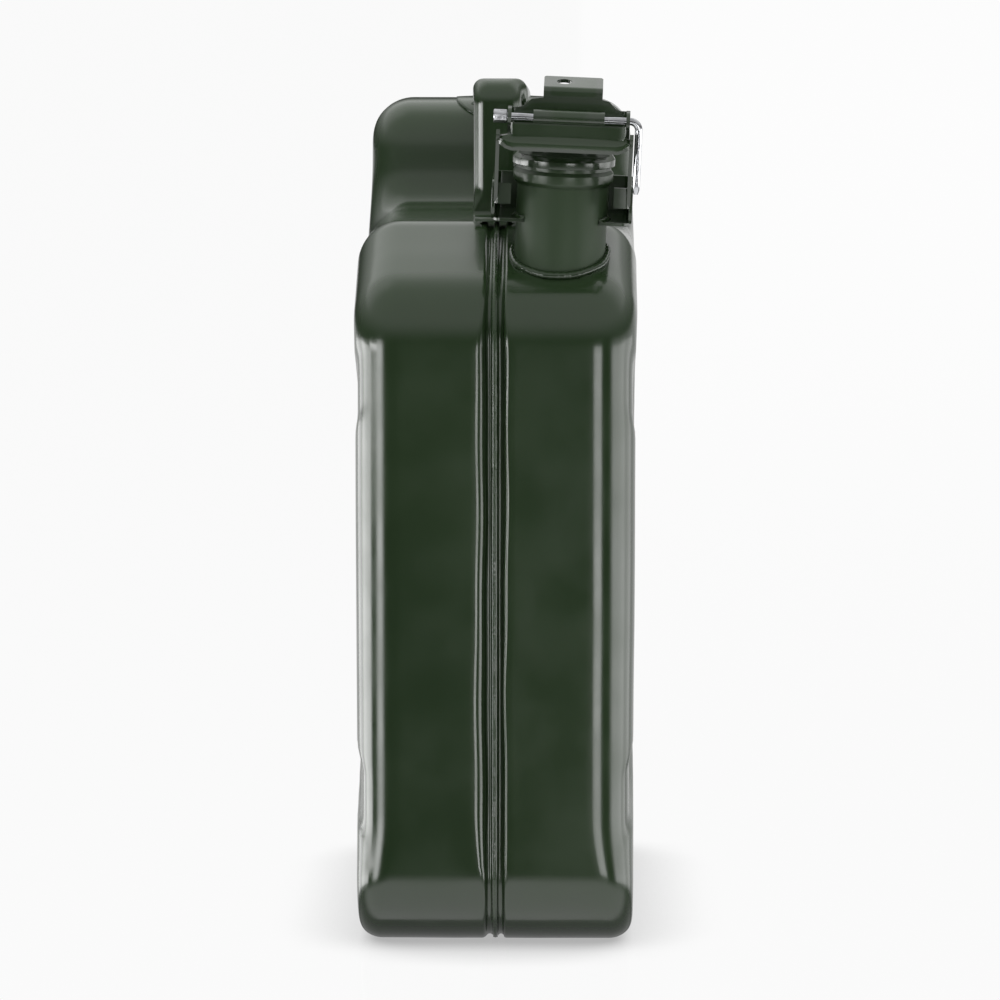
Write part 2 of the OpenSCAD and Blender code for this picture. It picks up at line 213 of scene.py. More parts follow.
class Shader:
    """A principled material with short calls for the nodes that give it its detail."""

    def __init__(self, name):
        self.material = bpy.data.materials.new(name)
        self.material.use_nodes = True
        self.tree = self.material.node_tree
        self.base = self.tree.nodes["Principled BSDF"]
        self.place = self.tree.nodes.new("ShaderNodeTexCoord").outputs["Object"]

    def link(self, source, target):
        self.tree.links.new(source, target)

    def noise(self, scale, detail=4.0, roughness=0.5, stretch=(1, 1, 1)):
        stretched = self.tree.nodes.new("ShaderNodeMapping")
        stretched.inputs["Scale"].default_value = stretch
        self.link(self.place, stretched.inputs["Vector"])
        node = self.tree.nodes.new("ShaderNodeTexNoise")
        node.inputs["Scale"].default_value = scale
        node.inputs["Detail"].default_value = detail
        node.inputs["Roughness"].default_value = roughness
        self.link(stretched.outputs["Vector"], node.inputs["Vector"])
        return node.outputs["Fac"]

    def ramp(self, source, low, high, from_low=0.35, from_high=0.65):
        """Maps source from one range to another, clamped; low and high are numbers or colours."""
        node = self.tree.nodes.new("ShaderNodeValToRGB")
        node.color_ramp.elements[0].position = from_low
        node.color_ramp.elements[1].position = from_high
        for element, value in zip(node.color_ramp.elements, (low, high)):
            element.color = (value,) * 3 + (1,) if isinstance(value, (int, float)) else value + (1,)
        self.link(source, node.inputs["Fac"])
        return node.outputs["Color"]

    def blend(self, amount, a, b):
        node = self.tree.nodes.new("ShaderNodeMix")
        node.data_type = "RGBA"
        self.link(amount, node.inputs["Factor"])
        for socket, value in ((node.inputs["A"], a), (node.inputs["B"], b)):
            if isinstance(value, tuple):
                socket.default_value = value + (1,)
            else:
                self.link(value, socket)
        return node.outputs["Result"]

    def bump(self, source, depth, below=None):
        node = self.tree.nodes.new("ShaderNodeBump")
        node.inputs["Strength"].default_value = 1.0
        node.inputs["Distance"].default_value = depth
        self.link(source, node.inputs["Height"])
        if below is not None:
            self.link(below, node.inputs["Normal"])
        return node.outputs["Normal"]

    def pointiness(self):
        return self.tree.nodes.new("ShaderNodeNewGeometry").outputs["Pointiness"]


ENAMEL = (0.034, 0.067, 0.026)
ENAMEL_LIGHT = (0.041, 0.077, 0.031)


def enamel_material(name, wear=0.3, darker=1.0, rough=0.17, coat=0.35):
    """Glossy green enamel over steel: slight orange peel, drifts of colour, worn edges."""
    s = Shader(name)
    low = tuple(c * darker for c in ENAMEL)
    high = tuple(c * darker for c in ENAMEL_LIGHT)
    colour = s.ramp(s.noise(9.0, 3.0), low, high)
    edge = s.ramp(s.pointiness(), 0.0, wear, 0.53, 0.60)
    scuffed = s.blend(edge, colour, (0.075, 0.095, 0.070))
    s.link(scuffed, s.base.inputs["Base Color"])
    s.link(s.ramp(s.noise(38.0, 5.0), rough, rough + 0.08), s.base.inputs["Roughness"])
    s.base.inputs["IOR"].default_value = 1.52
    s.base.inputs["Coat Weight"].default_value = coat
    s.base.inputs["Coat Roughness"].default_value = 0.06
    peel = s.bump(s.noise(420.0, 2.0), 0.000012)
    drift = s.bump(s.noise(45.0, 2.0), 0.00006, peel)
    s.link(drift, s.base.inputs["Normal"])
    return s.material


def weld_material(name):
    """Enamel lying over a rough weld bead: the same green with pits and small ripples."""
    s = Shader(name)
    s.link(s.ramp(s.noise(160.0, 4.0), ENAMEL, ENAMEL_LIGHT), s.base.inputs["Base Color"])
    s.link(s.ramp(s.noise(240.0, 4.0), 0.2, 0.42), s.base.inputs["Roughness"])
    s.base.inputs["Coat Weight"].default_value = 0.3
    s.base.inputs["Coat Roughness"].default_value = 0.1
    s.link(s.bump(s.noise(700.0, 3.0), 0.00018), s.base.inputs["Normal"])
    return s.material


def steel_material(name, tint, rough_low, rough_high, grain=(1, 1, 1)):
    """Plated steel with a faint drawn grain and dull spots."""
    s = Shader(name)
    dull = tuple(c * 0.72 for c in tint)
    s.link(s.ramp(s.noise(260.0, 5.0, 0.6), dull, tint), s.base.inputs["Base Color"])
    s.base.inputs["Metallic"].default_value = 1.0
    rough = s.noise(500.0, 4.0, 0.6, grain)
    s.link(s.ramp(rough, rough_low, rough_high), s.base.inputs["Roughness"])
    s.link(s.bump(rough, 0.00002), s.base.inputs["Normal"])
    return s.material


def rubber_material(name):
    """Dull black rubber with a fine grain."""
    s = Shader(name)
    s.link(s.ramp(s.noise(200.0, 5.0), (0.012,) * 3, (0.03,) * 3), s.base.inputs["Base Color"])
    s.link(s.ramp(s.noise(90.0, 3.0), 0.5, 0.75), s.base.inputs["Roughness"])
    s.link(s.bump(s.noise(900.0, 3.0), 0.00004), s.base.inputs["Normal"])
    return s.material


green = enamel_material("green_enamel")
green_small = enamel_material("green_enamel_small_parts", 0.55, 0.9)
green_neck = enamel_material("green_enamel_neck", 0.3, 1.0, 0.5, 0.0)
green_collar = enamel_material("green_enamel_collar", 0.3, 1.0, 0.3, 0.1)
green_weld = weld_material("green_enamel_over_weld")
zinc = steel_material("zinc_plate", (0.60, 0.61, 0.60), 0.28, 0.5)
bright = steel_material("bright_wire_plate", (0.56, 0.57, 0.59), 0.08, 0.2, (1, 6, 1))
ferrule = steel_material("crimped_ferrule_plate", (0.56, 0.57, 0.59), 0.22, 0.5)
seal = rubber_material("seal_rubber")


# ---- half shells -------------------------------------------------------------------------------

def rib_depth(y, z):
    """How far the crossed grooves press the side panel in at a point; they run out at the front."""
    depth, half_width, wall = 2.6, 9.0, 6.5
    deepest = 0.0
    for angle in (RIB_ANGLE, -RIB_ANGLE):
        away = abs(-y * math.sin(angle) + (z - PANEL_MID_Z) * math.cos(angle))
        deepest = max(deepest, depth * (1 - smooth(half_width, half_width + wall, away)))
    run_out = mix(0.35, 0.75, smooth(150, 100, z))
    return deepest * mix(1.0, run_out, smooth(-95, -128, y))


def panel_fall(z):
    """The side panel is fullest at the shoulder and slightly hollow below it and on the hump."""
    return 0.8 * smooth(285, 250, z) + 0.4 * smooth(200, 75, z) + 1.2 * smooth(300, 340, z)


def seam_wobble(distance, side):
    """Hand-finished waviness of the seam recess along the outline."""
    a, b, c = (math.sin(distance / size + side * 1.7) for size in (9.1, 21.3, 53.0))
    return 0.28 * a + 0.42 * b + 0.4 * c


def edge_radius(z):
    """The long edges are tighter along the base."""
    return mix(12.0, EDGE_R, smooth(4, 60, z))


def seam_opening(z):
    """1 up the straight faces, 0 at the foot and from the brow upwards."""
    return smooth(14, 64, z) * (1 - smooth(262, 296, z))


def seam_depth(z):
    """The recess is shallow at the foot and where it runs over the shoulder and the hump."""
    return mix(SHALLOW_SEAM, SEAM_DEPTH, seam_opening(z))


def face_lean(y, z):
    """The front face leans back a little towards its rounded brow."""
    return 1.5 * smooth(170, 285, z) * smooth(-100, -130, y)


def shell_section(seam_radius, edge_r, depth):
    """(x, inset, share of edge) across one half shell from the seam to its side panel."""
    swing = math.acos(1 - depth / (BEND_R + seam_radius))
    bend = (SHEET + BEND_R, depth - BEND_R)
    reach = BEND_R + seam_radius
    turn = (bend[0] + reach * math.sin(swing), bend[1] + reach * math.cos(swing))
    points = [(SHEET, 0.3, 0.0), (SHEET, min(1.8, depth - BEND_R - 0.05), 0.0)]
    for k in range(11):
        a = (PI / 2 + swing) * k / 10
        points.append((bend[0] - BEND_R * math.cos(a), bend[1] + BEND_R * math.sin(a), 0.0))
    for k in range(1, 9):
        a = swing * (1 - k / 8)
        x, inset = turn[0] - seam_radius * math.sin(a), turn[1] - seam_radius * math.cos(a)
        points.append((x, inset, 0.0))
    flat_start, flat_end = points[-1][0], HALF - edge_r
    for k in range(1, 14):
        points.append((mix(flat_start, flat_end, k / 14), 0.0, 0.0))
    for k in range(17):
        a = PI / 2 * k / 16
        x = flat_end + edge_r * math.sin(a)
        points.append((x, edge_r * (1 - math.cos(a)), smooth(0.35, 1.0, k / 16)))
    return points


def panel_x(y, z, side):
    """Distance of the side panel from the middle plane at a point."""
    lumps = ripple((HALF * 0.6, y, z), LUMP_SIZE, side)
    return HALF - rib_depth(y, z) - panel_fall(z) - 0.2 * lumps


def shell_mesh(name, side):
    """One half shell: a section swept along the outline, then rings that close its side panel."""
    samples = path_samples(OUTLINE, True, 3.0)
    rings = 64
    vertices, width = [], 0
    for y, z, ny, nz, distance in samples:
        edge_r = edge_radius(z)
        turn_r = SEAM_R[side] + 0.8 * seam_wobble(distance, side)
        turn_r *= mix(0.5, 1.0, seam_opening(z))
        section = shell_section(turn_r, edge_r, seam_depth(z))
        recess = 0.5 * seam_wobble(distance + 40, side)
        row = []
        for x, inset, edge in section:
            at_seam = smooth(1.5, 4.5, x) * (1 - smooth(6.0, 16.0, x))
            px, depth = x + recess * at_seam, inset
            lumps = ripple((px * 0.6, y, z), LUMP_SIZE, side) * smooth(8, 20, x)
            depth += 0.16 * lumps * (1 - edge)
            py, pz = y + ny * depth, z + nz * depth
            py += face_lean(py, pz)
            px -= edge * (rib_depth(py, pz) + panel_fall(pz) + 0.2 * lumps)
            row.append((side * px, py, pz))
        rim_y, rim_z = y + ny * edge_r, z + nz * edge_r
        for k in range(1, rings):
            t = k / rings
            py, pz = mix(rim_y, PANEL_CENTRE[0], t), mix(rim_z, PANEL_CENTRE[1], t)
            row.append((side * panel_x(py, pz, side), py, pz))
        width = len(row)
        vertices.extend(row)
    faces = grid_faces(len(samples), width, wrap_rows=True)
    cy, cz = PANEL_CENTRE
    vertices.append((side * panel_x(cy, cz, side), cy, cz))
    centre = len(vertices) - 1
    for i in range(len(samples)):
        after = (i + 1) % len(samples)
        faces.append((i * width + width - 1, centre, after * width + width - 1))
    if side > 0:
        faces = [tuple(reversed(f)) for f in faces]
    return make_mesh(name, vertices, faces, "can", green, 60)


def thicken(piece, thickness, offset=-1.0):
    """Gives an open surface the thickness of its sheet."""
    skin = piece.modifiers.new("sheet", "SOLIDIFY")
    skin.thickness = thickness * MM
    skin.offset = offset
    skin.use_even_offset = False


def bore(piece, place, radius, depth, solver="FAST"):
    """Cuts a round hole along the local z of a matrix given in millimetres."""
    bpy.ops.mesh.primitive_cylinder_add(vertices=96, radius=radius * MM, depth=depth * MM)
    cutter = bpy.context.object
    cutter.matrix_world = Matrix.Scale(MM, 4) @ place @ Matrix.Scale(1 / MM, 4)
    cut = piece.modifiers.new("hole", "BOOLEAN")
    cut.object = cutter
    cut.solver = solver
    apply_modifiers(piece)
    bpy.data.objects.remove(cutter)


def build_shells():
    """Both half shells; the right one has the hole for the neck."""
    for name, side in (("left_half_shell", -1), ("right_half_shell", 1)):
        piece = shell_mesh(name, side)
        thicken(piece, 0.9)
        if side > 0:
            bore(piece, NECK @ Matrix.Translation((0, 0, -45)), NECK_R + 0.1, 60)
        else:
            apply_modifiers(piece)
        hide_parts("shell_right" if side > 0 else "shell_left")


def build_seam_weld():
    """The bead that joins the two flanges: a narrow strip with lumps left by the torch."""
    samples = path_samples(OUTLINE, True, 1.3)
    around = 12
    vertices = []
    for y, z, ny, nz, distance in samples:
        ridge = math.sin(distance * 2 * PI / 2.6 + 3.0 * ripple((y, z, 0), 18.0))
        lump = ripple((0, y, z), 7.0, 4.0)
        half_width = 0.95 + 0.2 * lump + 0.1 * ridge
        height = 0.55 + 0.2 * ripple((9, y, z), 5.0, 2.0) + 0.08 * ridge
        sway = 0.35 * ripple((3, y, z), 16.0, 9.0)
        for k in range(around):
            a = 2 * PI * k / around
            inset = 0.75 - height * math.sin(a) if math.sin(a) > 0 else 0.75 - 0.5 * math.sin(a)
            inset = max(inset, 0.0)
            vertices.append((sway + half_width * math.cos(a), y + ny * inset, z + nz * inset))
    faces = grid_faces(len(samples), around, True, True)
    piece = make_mesh("seam_weld_bead", vertices, faces, "can", green_weld, 60)
    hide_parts("seam_weld")


# ---- handle ------------------------------------------------------------------------------------

HANDLE_SHEET = 1.7
LEG_Y = -63.0
FOOT_Y = LEG_Y - 13
GRIP_END_Y = 74.0
REAR_FOOT_Y = GRIP_END_Y + 26
SADDLE_LIFT = 1.0


def handle_width(y, z):
    """(half width, lip depth, bend radius, shift) of the handle's channel at a path point."""
    on_grip = smooth(LEG_Y + 3, LEG_Y + 14, y) * (1 - smooth(GRIP_END_Y - 30, GRIP_END_Y - 6, y))
    on_leg = smooth(DECK_Z + 3, DECK_Z + 14, z) * (1 - smooth(LEG_Y + 6, LEG_Y + 16, y))
    half = mix(LEG_HALF, GRIP_HALF, on_grip)
    end = REAR_FOOT_Y - y
    if end < 8:
        half *= math.sqrt(max(0.0, 1 - ((8 - end) / 8.4) ** 2))
    start = y - FOOT_Y
    if z < DECK_Z + 4 and start < 6:
        half -= 4 * (1 - smooth(0, 6, start))
    lip = 5.0 * on_leg + 4.0 * on_grip
    bend = mix(0.6, 6.2, max(on_leg, on_grip))
    return half, lip, bend, GRIP_SHIFT * on_grip


def handle_rows():
    """Rows across the handle's channel, from its front foot to its rear end."""
    mid = HANDLE_SHEET / 2
    path = [
        (FOOT_Y, DECK_Z + mid, 0), (LEG_Y, DECK_Z + mid, 3.5), (LEG_Y, GRIP_Z - mid, 10),
        (GRIP_END_Y - 24, GRIP_Z - mid - GRIP_FALL, 16), (GRIP_END_Y, HUMP_Z + mid + 0.4, 16),
        (REAR_FOOT_Y, HUMP_Z + mid + 0.4, 0),
    ]
    rows = []
    for y, z, ny, nz, _ in path_samples(path, False, 2.0):
        half, lip, bend, shift = handle_width(y, z)
        bend = min(bend, half * 0.9)
        section = [(half, bend + lip * k / 4) for k in range(4, 0, -1)]
        for k in range(9):
            a = PI / 2 * k / 8
            section.append((half - bend + bend * math.cos(a), bend - bend * math.sin(a)))
        flat = half - bend
        section += [(flat * (1 - k / 5), 0.0) for k in range(1, 6)]
        section += [(-x, d) for x, d in reversed(section[:-1])]
        rows.append([(x + shift, y - ny * (d - mid), z - nz * (d - mid)) for x, d in section])
    return rows


def saddle_rows():
    """The wide foot that wraps the front edge of the hump, from its rear end forwards."""
    hump_r, wrap, widest, columns = 26.0, math.radians(52), 21.5, 24
    outer = hump_r + SADDLE_LIFT
    lean = math.atan2(HUMP_Z - DECK_Z, HUMP_LEAN)
    centre_y = HUMP_FOOT_Y + HUMP_LEAN + hump_r * math.tan(lean / 2)
    line = [(mix(REAR_FOOT_Y - 4, centre_y, k / 12), HUMP_Z + SADDLE_LIFT) for k in range(12)]
    line += [(centre_y - outer * math.sin(wrap * k / 16),
              HUMP_Z - hump_r + outer * math.cos(wrap * k / 16)) for k in range(17)]
    rows = []
    for k, (y, z) in enumerate(line):
        from_end = (len(line) - 1 - k) / 14
        taper = math.sqrt(max(0.02, 1 - (1 - min(1.0, from_end)) ** 2))
        half = mix(13.0, widest, smooth(REAR_FOOT_Y - 4, centre_y + 6, y)) * taper
        rows.append([(mix(half, -half, j / columns), y, z) for j in range(columns + 1)])
    return list(reversed(rows))


def build_handle():
    """The channel and its saddle, as one sheet."""
    vertices, faces = [], []
    for rows in (handle_rows(), saddle_rows()):
        columns = len(rows[0])
        faces += [tuple(reversed(f)) for f in
                  grid_faces(len(rows), columns, start=len(vertices))]
        vertices += [v for row in rows for v in row]
    piece = make_mesh("stamped_handle", vertices, faces, "can", green, 50)
    thicken(piece, HANDLE_SHEET)
    apply_modifiers(piece)
    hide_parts("handle")


# ---- lathed and swept pieces of the closure ----------------------------------------------------

def lathe(name, profile, body, material, node, radius):
    """Turns a closed (r, w) profile round the neck's axis, with its corners rounded."""
    corners = [(r, w, radius) for r, w in profile]
    samples = path_samples(corners, True, 50.0, math.radians(22))
    turns, vertices = 120, []
    for k in range(turns):
        a = 2 * PI * k / turns
        for r, w, _, _, _ in samples:
            vertices.append(NECK @ Vector((r * math.cos(a), r * math.sin(a), w)))
    faces = grid_faces(turns, len(samples), True, True)
    piece = make_mesh(name, vertices, faces, body, material, 50)
    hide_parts(node)


def sweep(name, centres, radius, body, material, around, caps=True):
    """A round bar through centre points, with rounded ends. radius is a number or a function of
    the share of the way along."""
    size = radius if callable(radius) else (lambda t: radius)
    vertices, count = [], len(centres)
    reference = None
    for i, centre in enumerate(centres):
        ahead = (centres[min(i + 1, count - 1)] - centres[max(i - 1, 0)]).normalized()
        if reference is None:
            reference = ahead.orthogonal().normalized()
        reference = (reference - ahead * reference.dot(ahead)).normalized()
        across = ahead.cross(reference)
        for k in range(around):
            a = 2 * PI * k / around
            out = reference * math.cos(a) + across * math.sin(a)
            vertices.append(centre + out * size(i / (count - 1)))
    faces = grid_faces(count, around, False, True)
    if caps:
        faces.append(tuple(range(around - 1, -1, -1)))
        faces.append(tuple(range((count - 1) * around, count * around)))
    return make_mesh(name, vertices, faces, body, material, 50)


def build_neck():
    """The filler neck and the beaded collar at its lip."""
    lathe("filler_neck_tube", [(NECK_BORE_R, -51), (NECK_R, -51), (NECK_R, 0), (NECK_BORE_R, 0)],
          "can", green_neck, "neck_tube", 0.4)
    inner = NECK_R + 0.05
    lathe("beaded_collar", [
        (inner, -9.4), (inner + 0.6, -9.4), (inner + 1.85, -7.6), (inner + 1.85, -4.0),
        (inner + 0.8, -2.5), (inner + 0.8, -0.05), (inner, -0.05)],
          "can", green_collar, "neck_collar", 0.4)


def shoulder_height(y):
    """Height of the shoulder's flat above a y."""
    return SHOULDER_Z + (y - FRONT) * (DECK_Z - SHOULDER_Z) / (DECK_START_Y - FRONT)


def build_neck_weld():
    """A fillet bead where the neck meets the sloping shoulder."""
    centres, turns = [], 150
    for k in range(turns + 1):
        a = 2 * PI * k / turns
        spread = NECK_R + 0.75 + 0.15 * math.sin(9 * a)
        low, high = -70.0, -20.0
        for _ in range(30):
            middle = (low + high) / 2
            p = NECK @ Vector((spread * math.cos(a), spread * math.sin(a), middle))
            low, high = (middle, high) if p.z < shoulder_height(p.y) + 0.5 else (low, middle)
        centres.append(NECK @ Vector((spread * math.cos(a), spread * math.sin(a), low)))
    piece = sweep("neck_base_bead", centres, lambda t: 1.65 + 0.12 * math.sin(t * 2 * PI * 46),
                  "can", green, 16, caps=False)
    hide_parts("neck_weld")


LID_R = 22.6
LID_TOP = 4.7


def build_lid():
    """The pressure cap with the seal and the plate that holds it."""
    lathe("pressure_cap", [
        (2.6, LID_TOP - 1.2), (LID_R - 1.2, LID_TOP - 1.2), (LID_R - 1.2, -0.8), (LID_R, -0.8),
        (LID_R, LID_TOP - 2.4), (LID_R - 1.8, LID_TOP), (2.6, LID_TOP)],
          "lid", green_small, "lid_disc", 0.35)
    lathe("cap_gasket", [(12, 1.6), (17.9, 1.6), (17.9, 0.08), (21.2, 0.08), (21.2, LID_TOP - 1.3),
                         (12, LID_TOP - 1.3)], "lid", seal, "lid_gasket", 0.3)
    lathe("gasket_retainer", [(3.7, 0.3), (17.8, 0.3), (17.8, 1.5), (2.6, 1.5)],
          "lid", zinc, "gasket_plate", 0.25)


PIN_V = -24.0
PIN_W = 22.0
CLOSURE_SHIFT = 1.4
EAR_U = 25.8
WIRE_R = 1.65


def build_wire():
    """The cross pin, with its right end bent down as a leg."""
    bend = 3.8
    bend_u = CLOSURE_SHIFT + EAR_U + 1
    leg = 28.0
    points = [(mix(CLOSURE_SHIFT - 32.3, bend_u, k / 30), PIN_W) for k in range(31)]
    for k in range(1, 11):
        a = PI / 2 * k / 10
        points.append((bend_u + bend * math.sin(a), PIN_W - bend + bend * math.cos(a)))
    points += [(bend_u + bend, PIN_W - bend - leg * k / 16) for k in range(1, 17)]
    centres = [NECK @ Vector((u, PIN_V, w)) for u, w in points]
    last = len(centres) - 1

    def size(t):
        from_end = (1 - t) * last
        return WIRE_R * (0.55 if from_end < 0.5 else 0.9 if from_end < 1.5 else 1.0)

    piece = sweep("bent_catch_wire", centres, size, "wire", bright, 28)
    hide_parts("catch_wire")


def build_wire_head():
    """A ferrule crimped on the pin's left end, with flats left by the tool."""
    around, along, length = 48, 16, 6.0
    start = CLOSURE_SHIFT - 32.8
    vertices = []
    for i in range(along + 1):
        t = i / along
        for k in range(around):
            a = 2 * PI * k / around
            flats = 2.95 - 0.28 * (0.5 + 0.5 * math.cos(6 * a)) * smooth(0.08, 0.25, t)
            dents = 0.12 * ripple((math.cos(a) * 3, math.sin(a) * 3, t * 6), 1.4, 5.0)
            r = (flats + dents) * (0.9 if i in (0, along) else 1.0)
            vertices.append(NECK @ Vector((start + length * t, PIN_V + r * math.cos(a),
                                           PIN_W + r * math.sin(a))))
    faces = grid_faces(along + 1, around, False, True)
    faces.append(tuple(range(around - 1, -1, -1)))
    faces.append(tuple(range(along * around, (along + 1) * around)))
    piece = make_mesh("crimped_wire_head", vertices, faces, "wire", ferrule, 35)
    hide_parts("catch_wire_head")


# ---- stamped sheets of the closure: strips and flat plates given a thickness ------------------

def stamped(name, node, body, strips, plates, thickness=1.6, holes=()):
    """One piece from strips, each rows of (u, v, w), and plates, each an outline of (u, v, w)."""
    vertices, faces = [], []
    for rows in strips:
        faces += grid_faces(len(rows), len(rows[0]), start=len(vertices))
        vertices += [v for row in rows for v in row]
    for outline in plates:
        faces.append(tuple(range(len(vertices), len(vertices) + len(outline))))
        vertices += outline
    points = [NECK @ Vector(v) for v in vertices]
    piece = make_mesh(name, points, faces, body, green_small, 40)
    thicken(piece, thickness, 0.0)
    apply_modifiers(piece)
    for place, radius in holes:
        bore(piece, NECK @ place, radius, 12, "EXACT")
    soft = piece.modifiers.new("edges", "BEVEL")
    soft.width = 0.3 * MM
    soft.segments = 2
    soft.limit_method = "ANGLE"
    soft.angle_limit = math.radians(50)
    soft.harden_normals = True
    apply_modifiers(piece)
    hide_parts(node)


def arc_points(centre, radius, start, end, steps):
    """(a, b) points of an arc between two angles in degrees."""
    angles = [math.radians(mix(start, end, k / steps)) for k in range(steps + 1)]
    return [(centre[0] + radius * math.cos(a), centre[1] + radius * math.sin(a)) for a in angles]


def curl_strip(centre, radius, start, end, u_low, u_high):
    """A sheet curled round the u direction."""
    points = arc_points(centre, radius, start, end, 20)
    return [[(mix(u_low, u_high, j / 6), v, w) for j in range(7)] for v, w in points]


def profile(table, x):
    """Height at x on a line through (x, height) points."""
    for (x0, h0), (x1, h1) in zip(table, table[1:]):
        if x <= x1:
            return mix(h0, h1, max(0.0, (x - x0) / (x1 - x0)))
    return table[-1][1]


TAB_SHIFT = CLOSURE_SHIFT + 1.4
TAB_HALF = 12.9
TAB_RISE = math.radians(12)
TAB_BEND_W = 34.0
WALL_V = -17.8
EAR_R = 4.2


def carrier_wall():
    """The front wall and both ears, bent from one strip that runs round in plan."""
    left, right = CLOSURE_SHIFT - EAR_U, CLOSURE_SHIFT + EAR_U
    front = PIN_V - EAR_R
    shoulders = [(-22, 25.6), (-20, 26.2), (-16.6, 29.4), (-11, 30.2), (14, 30.2), (17.4, 29.4),
                 (20.6, 26.2), (22.6, 25.6)]
    path = [(left, front, 0), (left, WALL_V, 2.2), (right, WALL_V, 2.2), (right, front, 0)]
    rows = []
    for u, v, _, _, _ in path_samples(path, False, 0.55, math.radians(15)):
        ahead = min(0.0, v - PIN_V)
        round_off = math.sqrt(max(0.0, EAR_R ** 2 - ahead ** 2))
        on_ear = smooth(WALL_V - 0.4, WALL_V - 2.4, v)
        top = mix(profile(shoulders, u - CLOSURE_SHIFT), PIN_W + round_off, on_ear)
        low = mix(9.6, mix(11.0, PIN_W - round_off, smooth(PIN_V + 2, PIN_V, v)), on_ear)
        rows.append([(u, v, mix(low, top, k / 14)) for k in range(15)])
    return rows


def build_carrier():
    """Lifting tab, arm with its hinge curl, front wall with ears, and a crown round the cap."""
    path = [(WALL_V, 30.25, 0), (WALL_V, TAB_BEND_W, 2.0),
            (WALL_V + 15.4 * math.cos(TAB_RISE), TAB_BEND_W + 15.4 * math.sin(TAB_RISE), 0)]
    tab = []
    samples = path_samples(path, False, 0.8)
    for v, w, _, _, distance in samples:
        from_end = samples[-1][4] - distance
        half = TAB_HALF - 0.9 * (1 - smooth(0, 1.2, from_end))
        tab.append([(TAB_SHIFT + mix(-half, half, j / 12), v, w) for j in range(13)])
    hinge_v, hinge_w, hinge_r = 31.0, 2.0, 3.2
    floor_w = LID_TOP + 0.95
    arm_path = [(hinge_v - 1, floor_w, 0), (WALL_V, floor_w, 4), (WALL_V, 9.65, 0)]
    arm = [[(mix(-14, 14, j / 8), v, w) for j in range(9)]
           for v, w, _, _, _ in path_samples(arm_path, False, 3.0, math.radians(10))]
    curl = curl_strip((hinge_v, hinge_w), hinge_r, 110, -190, -14.4, 14.4)
    crown = []
    for k in range(25):
        share = abs(k - 12) / 12
        a = math.radians(mix(208, 332, k / 24))
        inner_r, inner_w = mix(17.6, 21.0, share ** 3), mix(9.4, 6.6, share ** 3)
        row = []
        for j in range(7):
            r, w = mix(22.0, inner_r, j / 6), mix(4.3, inner_w, math.sin(PI / 2 * j / 6))
            row.append((r * math.cos(a), r * math.sin(a), w))
        crown.append(row)
    hole = Matrix.Translation((TAB_SHIFT - 4, WALL_V + 8.5 * math.cos(TAB_RISE),
                               TAB_BEND_W + 8.5 * math.sin(TAB_RISE)))
    strips = [carrier_wall(), tab, arm, curl, crown]
    stamped("stamped_lid_carrier", "lid_carrier", "lid", strips, [],
            holes=[(hole @ Matrix.Rotation(TAB_RISE, 4, "X"), 3.3)])


LEVER_V = PIN_V - 4.0
LEVER_HALF = EAR_U - 1.4
LIP_HALF = 29.1
CREASE_W = 12.6


def lever_face():
    """The lever's plate and its flared lip, whose ends wrap round to the rear."""
    path = [(LEVER_V, 20.0, 0), (LEVER_V, CREASE_W, 4), (LEVER_V - 1.6, 10.8, 3),
            (LEVER_V - 4.8, 8.9, 0)]
    rows = []
    for v, w, _, _, _ in path_samples(path, False, 0.5, math.radians(8)):
        flare = smooth(CREASE_W + 2, CREASE_W, w)
        middle = CLOSURE_SHIFT * (1 - flare)
        half = mix(LEVER_HALF, LIP_HALF, flare)
        radius, flange = mix(0.5, 3.6, flare), mix(0.0, 3.5, flare)
        bow = 0.5 * flare
        side = [(half - radius) * j / 10 for j in range(11)]
        section = [(u, -bow * (1 - (u / half) ** 2)) for u in side]
        section += [(half - radius + radius * math.sin(PI / 2 * k / 7),
                     radius - radius * math.cos(PI / 2 * k / 7)) for k in range(1, 8)]
        section += [(half, radius + flange * k / 3) for k in range(1, 4)]
        whole = [(-u, back) for u, back in reversed(section[1:])] + section
        lift = 2.6 * min(1.0, max(0.0, (CREASE_W - w) / 3.7))
        rows.append([(middle + u, v + back, w + lift * smooth(half - 5.5, half - 0.5, abs(u)))
                     for u, back in whole])
    return rows


def build_lever():
    """The lever's face, its knuckle on the cross pin, and two arms with bent feet."""
    knuckle = 15.5
    curl = curl_strip((PIN_V, PIN_W), 2.8, 215, -50,
                      CLOSURE_SHIFT - knuckle, CLOSURE_SHIFT + knuckle)
    neck = [[(CLOSURE_SHIFT + mix(-knuckle, knuckle, j / 6), mix(LEVER_V, PIN_V - 2.3, k / 4),
              mix(19.6, PIN_W - 1.6, k / 4)) for j in range(7)] for k in range(5)]
    arms, feet = [], []
    outline = [(-29.5, 10.4), (-29.5, 14.6), (-27.0, 16.6), (-23.4, 15.4), (-20.2, 9.0),
               (-15.0, -7.0), (-15.0, -16.0), (-16.0, -17.0), (-18.0, -17.0), (-19.0, -16.0),
               (-22.0, -7.0), (-26.6, 6.7)]
    foot_r, foot_v = 1.6, -18.8
    for side in (-1, 1):
        arm_u = side * LIP_HALF
        arms.append([(arm_u, v, w) for v, w in outline])
        inside = arm_u - side * foot_r
        start = 90 * (1 - side)
        bend = arc_points((inside, foot_v + foot_r), foot_r, start, start - 90 * side, 5)
        plan = bend + [(arm_u - side * 6.6, foot_v)]
        feet.append([[(u, v, mix(-17.0, -8.0, k / 5)) for k in range(6)] for u, v in plan])
    stamped("stamped_clamp_lever", "clamp_lever", "clamp", [lever_face(), curl, neck] + feet, arms)


BRACKET_LOW = -26.0


